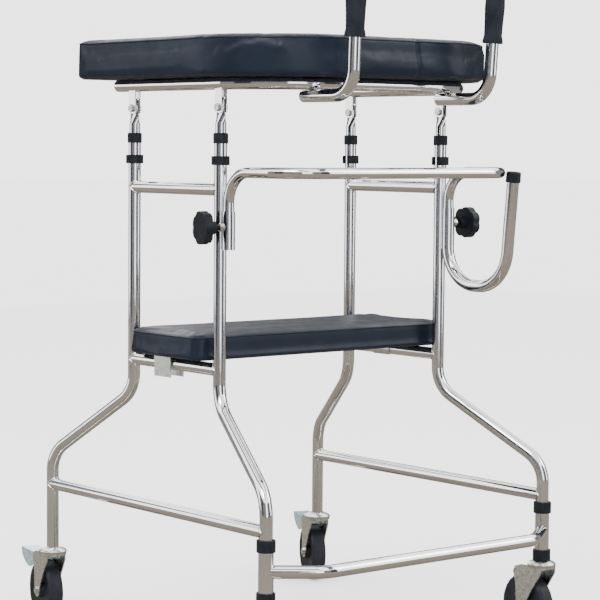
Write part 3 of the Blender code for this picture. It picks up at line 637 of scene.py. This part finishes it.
def horseshoe(inset):
    """The armrest pad's outline, open to the rear."""
    offset = PAD_OFFSET - inset
    rear_y, end_r = PAD_REAR_Y - inset, PAD_END_R - inset
    outer_r, inner_r = ARM_CORNER_R + offset, ARM_CORNER_R - offset
    corner_x, corner_y = POST_X - ARM_CORNER_R, ARM_FRONT_Y + ARM_CORNER_R
    outer_x, inner_x = POST_X + offset, POST_X - offset
    points = []
    points += arc((-outer_x + end_r, rear_y - end_r), end_r, 90, 180, END_ARC_STEPS)
    points += arc((-corner_x, corner_y), outer_r, 180, 270, OUTER_ARC_STEPS)
    points += arc((corner_x, corner_y), outer_r, 270, 360, OUTER_ARC_STEPS)
    points += arc((outer_x - end_r, rear_y - end_r), end_r, 0, 90, END_ARC_STEPS)
    points += arc((inner_x + end_r, rear_y - end_r), end_r, 90, 180, END_ARC_STEPS)
    points += arc((corner_x, corner_y), inner_r, 0, -90, INNER_ARC_STEPS)
    points += arc((-corner_x, corner_y), inner_r, -90, -180, INNER_ARC_STEPS)
    points += arc((-inner_x - end_r, rear_y - end_r), end_r, 0, 90, END_ARC_STEPS)
    return points


def seat_outline(inset):
    """The seat pad's outline, a rectangle with round corners."""
    low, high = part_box("seat_pad")
    radius = SEAT_CORNER_R - inset
    left, right = low.x + inset + radius, high.x - inset - radius
    front, rear = low.y + inset + radius, high.y - inset - radius
    points = []
    points += arc((right, rear), radius, 0, 90, END_ARC_STEPS)
    points += arc((left, rear), radius, 90, 180, END_ARC_STEPS)
    points += arc((left, front), radius, 180, 270, END_ARC_STEPS)
    points += arc((right, front), radius, 270, 360, END_ARC_STEPS)
    return points


def prism(name, outline, low_z, high_z):
    bm = bmesh.new()
    base = bm.faces.new([bm.verts.new((x, y, low_z)) for x, y in outline])
    made = bmesh.ops.extrude_face_region(bm, geom=[base])
    lifted = [item for item in made["geom"] if isinstance(item, bmesh.types.BMVert)]
    bmesh.ops.translate(bm, vec=(0, 0, high_z - low_z), verts=lifted)
    return finish_mesh(name, bm, LOOKS["vinyl"])


def applied(obj):
    """The object with its modifiers made real."""
    graph = bpy.context.evaluated_depsgraph_get()
    mesh = bpy.data.meshes.new_from_object(obj.evaluated_get(graph))
    obj.modifiers.clear()
    obj.data = mesh
    return obj


def inflate(obj, low_z, high_z, cap):
    """Swells the pad with Cloth, its underside held and no point moved further than the cap."""
    rest = [vertex.co.copy() for vertex in obj.data.vertices]
    held = obj.vertex_groups.new(name="held")
    thickness = high_z - low_z
    for vertex in obj.data.vertices:
        share = (vertex.co.z - low_z) / thickness
        held.add([vertex.index], 1.0 if share < HELD_SHARE else 0.0, "REPLACE")
    cloth = obj.modifiers.new("Cloth", "CLOTH")
    cloth.settings.vertex_group_mass = "held"
    cloth.settings.use_pressure = True
    cloth.settings.uniform_pressure_force = CLOTH_PRESSURE
    cloth.settings.effector_weights.gravity = 0
    for number in range(1, CLOTH_FRAMES + 1):
        bpy.context.scene.frame_set(number)
    applied(obj)
    obj.vertex_groups.clear()
    for vertex, home in zip(obj.data.vertices, rest):
        moved = vertex.co - home
        if moved.length > cap:
            vertex.co = home + moved.normalized() * cap
    bpy.context.scene.frame_set(1)


def push_along_normals(obj, amount):
    """Moves each point by amount(place) along its normal, as it was before any point moved."""
    places = [vertex.co.copy() for vertex in obj.data.vertices]
    normals = [normal.vector.copy() for normal in obj.data.vertex_normals]
    flat = []
    for place, normal in zip(places, normals):
        flat.extend(place + normal * amount(place))
    obj.data.vertices.foreach_set("co", flat)
    obj.data.update()


def crease(obj, low_z, high_z):
    """Slight hollows and pulls in the cover, strongest on its sides."""

    def amount(place):
        share = (place.z - low_z) / (high_z - low_z)
        side = max(0.0, 1 - abs(share - 0.5) * CREASE_SIDE_FALL)
        fine = noise.noise(place * CREASE_FINE_SCALE + CREASE_SHIFT)
        broad = noise.noise(place * CREASE_BROAD_SCALE)
        return CREASE_BROAD * broad + CREASE_FINE * fine * side

    push_along_normals(obj, amount)


def seam(obj, point, across):
    """A sewn joint in the cover: a groove in the plane through the point."""
    point, across = Vector(point), Vector(across).normalized()

    def amount(place):
        if (place - point).length > SEAM_REACH:
            return 0.0
        away = (place - point).dot(across)
        pull = math.exp(-((away / SEAM_WIDTH) ** 2))
        spread = math.exp(-((away / (SEAM_PUCKER_SPREAD * SEAM_WIDTH)) ** 2))
        pucker = SEAM_PUCKER * spread * noise.noise(place * SEAM_PUCKER_SCALE)
        return -SEAM_DEPTH * (pull + pucker)

    push_along_normals(obj, amount)


def make_cushion(name, outline, body, nodes, cap):
    low_z, high_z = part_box(nodes)[0].z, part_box(nodes)[1].z
    pad = prism(name, outline(PAD_INSET), low_z + PAD_LIFT, high_z - PAD_INSET)
    bevel = pad.modifiers.new("Round", "BEVEL")
    bevel.width = PAD_BEVEL
    bevel.segments = PAD_BEVEL_SEGMENTS
    remesh = pad.modifiers.new("Remesh", "REMESH")
    remesh.mode = "VOXEL"
    remesh.voxel_size = REMESH_SIZE
    applied(pad)
    inflate(pad, low_z, high_z, cap)
    pad.modifiers.new("Subdivide", "SUBSURF").levels = 1
    applied(pad)
    crease(pad, low_z, high_z)
    pad.data.materials.clear()
    pad.data.materials.append(LOOKS["vinyl"])
    pad.data.shade_smooth()
    stand_in(pad, body, "vinyl", nodes)
    return pad


def make_piping(name, pad, outline, height, body):
    """The sewn edge of the cover, laid on the finished cushion at one height."""
    graph = bpy.context.evaluated_depsgraph_get()
    surface = BVHTree.FromObject(pad, graph)
    dense = []
    for (x0, y0), (x1, y1) in zip(outline, outline[1:] + outline[:1]):
        count = max(1, round(math.hypot(x1 - x0, y1 - y0) / PIPING_STEP))
        for step in range(count):
            share = step / count
            dense.append(Vector((x0 + (x1 - x0) * share, y0 + (y1 - y0) * share, height)))
    path = [surface.find_nearest(point)[0] for point in dense]
    piping = curve_piece(
        name, path, PIPING_R, LOOKS["vinyl"], closed=True, resolution=THIN_BAR_RESOLUTION
    )
    stand_in(piping, body, "vinyl")


def make_cushions():
    pad = make_cushion("armrest_cushion", horseshoe, "armrest", "armrest_pad", ARMREST_SWELL)
    seam(pad, (SEAM_X, ARM_FRONT_Y - PAD_OFFSET, (PAD_LOW_Z + PAD_TOP_Z) / 2), (1, 0, 0))
    edge = PAD_INSET - PIPING_PROUD
    make_piping("armrest_piping", pad, horseshoe(edge), PAD_TOP_Z - PIPING_DROP, "armrest")
    seat = make_cushion("seat_cushion", seat_outline, "seat", "seat_pad", SEAT_SWELL)
    seat_top_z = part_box("seat_pad")[1].z
    make_piping("seat_piping", seat, seat_outline(edge), seat_top_z - PIPING_DROP, "seat")


# ---------------------------------------------------------------- studio

CAMERA_PLACE = (-2.4808, -3.0740, 0.8902)
CAMERA_AZIMUTH = math.radians(39.255)
CAMERA_PITCH = math.radians(4.107)
CAMERA_ROLL = math.radians(0.464)
CAMERA_LENS = 129.85
FLOOR_HALF = 40.0
CARD_DISTANCE = 7.0
DARK_GREY = (0.008, 0.009, 0.012)
MID_GREY = (0.085, 0.087, 0.095)
WARM_GREY = (0.105, 0.088, 0.066)
FLOOR_COLOUR = (0.96, 0.96, 0.955)
WORLD_STRENGTH = 3.2
AIM_Z = 0.6
WALL_TOP_Z = 4.5
WARM_FLOOR_Z = 0.0005
CEILING_X, CEILING_Z = 1.9, 5.0
CEILING_HALF_X, CEILING_HALF_Y = 0.7, 6.0
# Each light's place, size and power.
KEY_LIGHT = ((-2.6, -1.2, 3.6), (2.0, 1.4), 90)
FILL_LIGHT = ((2.8, -2.4, 2.6), (1.6, 1.6), 40)
# What stands round the walker, sector by sector; an open sector shows the bright room.
SECTORS = (MID_GREY, DARK_GREY, None, MID_GREY, MID_GREY, DARK_GREY, MID_GREY, None)
SECTORS += (DARK_GREY, MID_GREY, None, MID_GREY, DARK_GREY, MID_GREY, MID_GREY, None)


def plain_material(name, colour, rough=0.9):
    material = bpy.data.materials.new(name)
    material.use_nodes = True
    shader = material.node_tree.nodes["Principled BSDF"]
    shader.inputs["Base Color"].default_value = (*colour, 1)
    shader.inputs["Roughness"].default_value = rough
    return material


def make_camera():
    data = bpy.data.cameras.new("camera")
    data.lens = CAMERA_LENS
    camera = bpy.data.objects.new("camera", data)
    bpy.context.scene.collection.objects.link(camera)
    level = math.cos(CAMERA_PITCH)
    side, front = math.sin(CAMERA_AZIMUTH) * level, math.cos(CAMERA_AZIMUTH) * level
    ahead = Vector((side, front, -math.sin(CAMERA_PITCH)))
    turn = ahead.to_track_quat("-Z", "Y").to_matrix().to_4x4()
    roll = Matrix.Rotation(CAMERA_ROLL, 4, "Z")
    camera.matrix_world = Matrix.Translation(CAMERA_PLACE) @ turn @ roll
    bpy.context.scene.camera = camera


def make_light(name, place, size, power):
    data = bpy.data.lights.new(name, "AREA")
    data.shape = "RECTANGLE"
    data.size, data.size_y = size
    data.energy = power
    light = bpy.data.objects.new(name, data)
    bpy.context.scene.collection.objects.link(light)
    light.location = place
    light.rotation_mode = "QUATERNION"
    aim = Vector((0, 0, AIM_Z)) - Vector(place)
    light.rotation_quaternion = aim.to_track_quat("-Z", "Y")


def make_card(name, corners, colour):
    """A studio card that only reflections see."""
    bm = bmesh.new()
    bm.faces.new([bm.verts.new(corner) for corner in corners])
    card = finish_mesh(name, bm, plain_material(name, colour))
    card.visible_camera = False
    card.visible_diffuse = False
    card.visible_shadow = False


def make_wall_card(name, azimuth, width, low_z, high_z, colour):
    """A card that stands round the walker, facing it."""
    turn = Matrix.Rotation(math.radians(azimuth), 4, "Z")
    place, half = turn @ Vector((0, -CARD_DISTANCE, 0)), turn @ Vector((width / 2, 0, 0))
    low, high = Vector((0, 0, low_z)), Vector((0, 0, high_z))
    near, far = place - half, place + half
    make_card(name, [near + low, far + low, far + high, near + high], colour)


def make_level_card(name, centre, half_x, half_y, colour):
    """A card that lies level, over the walker or just above the floor."""
    signs = ((-1, -1), (1, -1), (1, 1), (-1, 1))
    corners = [Vector(centre) + Vector((x * half_x, y * half_y, 0)) for x, y in signs]
    make_card(name, corners, colour)


def make_studio():
    world = bpy.data.worlds.new("studio")
    bpy.context.scene.world = world
    world.use_nodes = True
    world.node_tree.nodes["Background"].inputs["Color"].default_value = (1, 1, 1, 1)
    world.node_tree.nodes["Background"].inputs["Strength"].default_value = WORLD_STRENGTH
    bm = bmesh.new()
    bmesh.ops.create_grid(bm, x_segments=1, y_segments=1, size=FLOOR_HALF)
    floor = finish_mesh("floor", bm, plain_material("floor", FLOOR_COLOUR))
    floor.visible_glossy = False
    under = (0, 0, WARM_FLOOR_Z)
    make_level_card("warm_floor", under, CARD_DISTANCE, CARD_DISTANCE, WARM_GREY)
    for side in (-1, 1):
        over = (CEILING_X * side, 0, CEILING_Z)
        make_level_card(f"ceiling_{side}", over, CEILING_HALF_X, CEILING_HALF_Y, MID_GREY)
    make_light("key", *KEY_LIGHT)
    make_light("fill", *FILL_LIGHT)
    step = 360 / len(SECTORS)
    width = 2 * CARD_DISTANCE * math.tan(math.radians(step / 2))
    for index, colour in enumerate(SECTORS):
        if colour is not None:
            make_wall_card(f"card_{index}", index * step, width, 0.0, WALL_TOP_Z, colour)


dress_cad_nodes()
make_legs()
make_rails()
make_crossbar()
make_armrest_tubes()
make_hoop_and_hook()
make_cushions()
make_camera()
make_studio()
